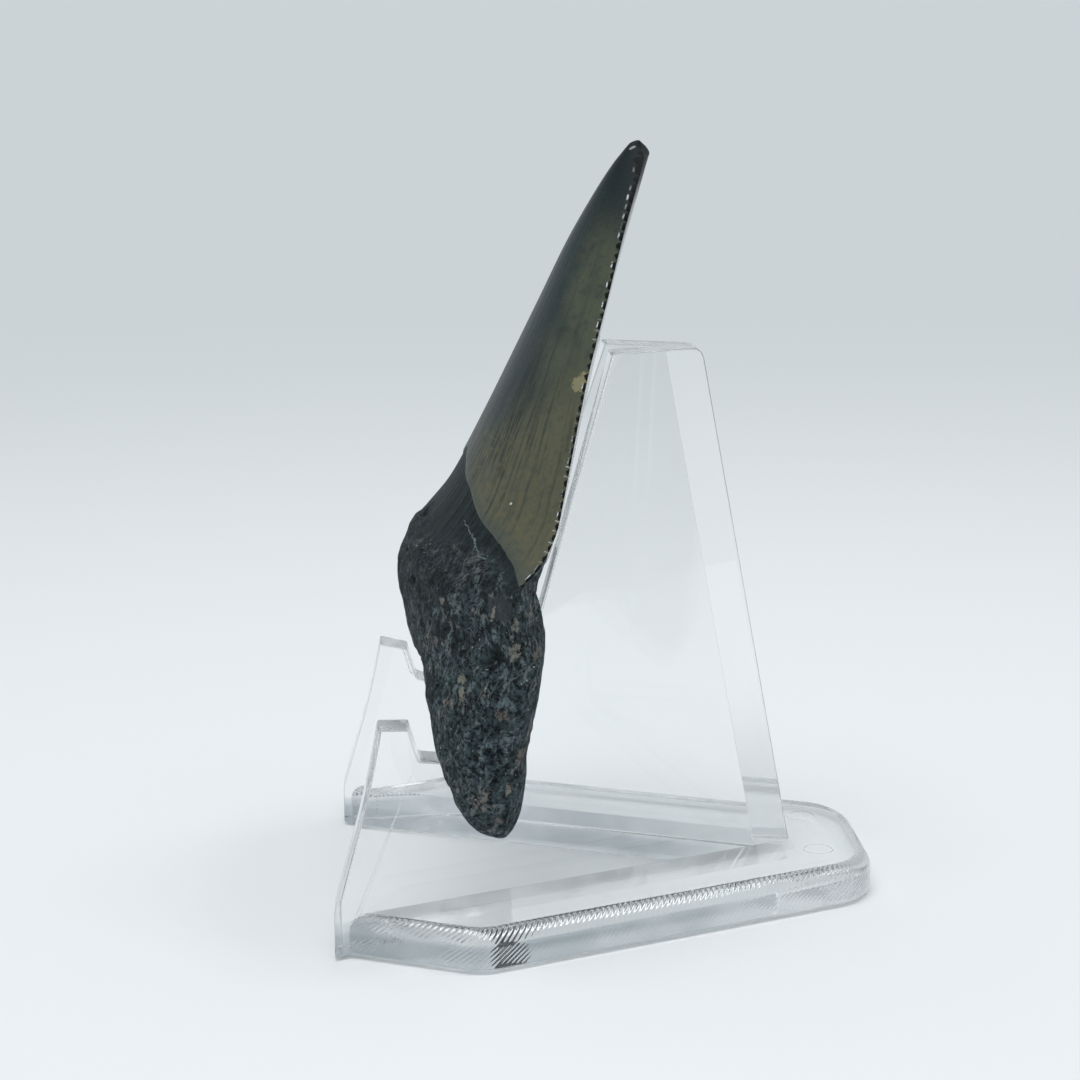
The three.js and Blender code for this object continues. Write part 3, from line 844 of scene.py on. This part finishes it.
shader = board.node(
    "ShaderNodeBsdfPrincipled", None, Roughness=frosted, IOR=1.49, Transmission_Weight=1.0,
    Base_Color=painted_side_shade.mix((0.99, 0.993, 0.995, 1), (0.5, 0.55, 0.58, 1)), Normal=bump,
)
absorb = board.node("ShaderNodeVolumeAbsorption", None, Color=(0.42, 0.46, 0.48, 1), Density=1.8)
finish_material(board, shader, absorb)
stand.data.materials.clear()
stand.data.materials.append(material)
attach(stand, "root")
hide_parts("display_stand")

# ------------------------------------------------------------------------------ table and light
# A sheet of pale paper under soft studio light; far off it fades into the even background.

HORIZON = colour(204, 211, 214)
PAPER_REACH = 8.0  # metres from the middle to each edge
PAPER_BELOW = -0.0003  # metres; the stand's underside stays clear of the paper
corners = np.array([(-1, -1), (1, -1), (1, 1), (-1, 1)]) * PAPER_REACH
floor = new_piece("paper_floor", np.insert(corners, 2, PAPER_BELOW, axis=1), [[0, 1, 2, 3]])
material, board = new_material("pale_paper")
place = board.node("ShaderNodeTexCoord", None, "Object")
distance = board.node("ShaderNodeVectorMath", {"operation": "LENGTH"}, "Value", Vector=place)
fibre = place.noise(900.0, 3.0)
bump = board.node("ShaderNodeBump", None, "Normal", Strength=0.05, Distance=0.0002, Height=fibre)
paper = board.node(
    "ShaderNodeBsdfPrincipled", None, Base_Color=colour(238, 239, 240), Roughness=0.9,
    Specular_IOR_Level=0.2, Normal=bump,
)
far = board.node("ShaderNodeEmission", None, Color=HORIZON, Strength=1.0)
fade = distance.ease(0.02, 0.6)
mixed = board.node("ShaderNodeMixShader", None, Fac=fade, Shader=paper, Shader_001=far)
finish_material(board, mixed)
floor.data.materials.append(material)

scene = bpy.context.scene
scene.view_settings.view_transform = "Standard"
world = bpy.data.worlds.new("studio")
scene.world = world
world.use_nodes = True
background = world.node_tree.nodes["Background"]
background.inputs["Color"].default_value = HORIZON
background.inputs["Strength"].default_value = 1.0
scene.cycles.max_bounces = 24
scene.cycles.blur_glossy = 0.0
scene.cycles.glossy_bounces = 16
scene.cycles.transmission_bounces = 24


def soft_light(name, location, size, power):
    """A round lamp of the given width in metres and power in watts, turned to the tooth."""
    lamp = bpy.data.lights.new(name, "AREA")
    lamp.shape, lamp.size, lamp.energy = "DISK", size, power
    holder = bpy.data.objects.new(name, lamp)
    holder.location = location
    aim = Vector((0, 0, 0.02)) - holder.location
    holder.rotation_euler = aim.to_track_quat("-Z", "Y").to_euler()
    scene.collection.objects.link(holder)


# The wide softbox lights everything evenly; the small lamp puts the bright line on the foot's edge.
soft_light("top_softbox", (0.09, -0.06, 0.45), 0.36, 0.78)
soft_light("small_lamp", (0.0, 0.21, 0.37), 0.1, 0.16)

# ------------------------------------------------------------------------------ camera
# A long lens at the tooth's right, a little above it, turned slightly and rolled by a hair.

camera = bpy.data.objects.new("camera", bpy.data.cameras.new("camera"))
scene.collection.objects.link(camera)
scene.camera = camera
camera.data.sensor_width = 36.0
camera.data.lens = 81.14
camera.data.clip_start, camera.data.clip_end = 0.005, 50.0
camera.location = (0.19739, -0.01605, 0.06908)
yaw, pitch, roll = math.radians(-3.183), math.radians(11.474), -0.0066
level = Vector((-math.cos(yaw), -math.sin(yaw), 0))
sideways = Vector((-math.sin(yaw), math.cos(yaw), 0))
up = Vector((0, 0, 1))
forward = level * math.cos(pitch) - up * math.sin(pitch)
raised = up * math.cos(pitch) + level * math.sin(pitch)
right = sideways * math.cos(roll) + raised * math.sin(roll)
top = raised * math.cos(roll) - sideways * math.sin(roll)
turned = Matrix((right, top, -forward)).transposed()
camera.rotation_euler = turned.to_euler()
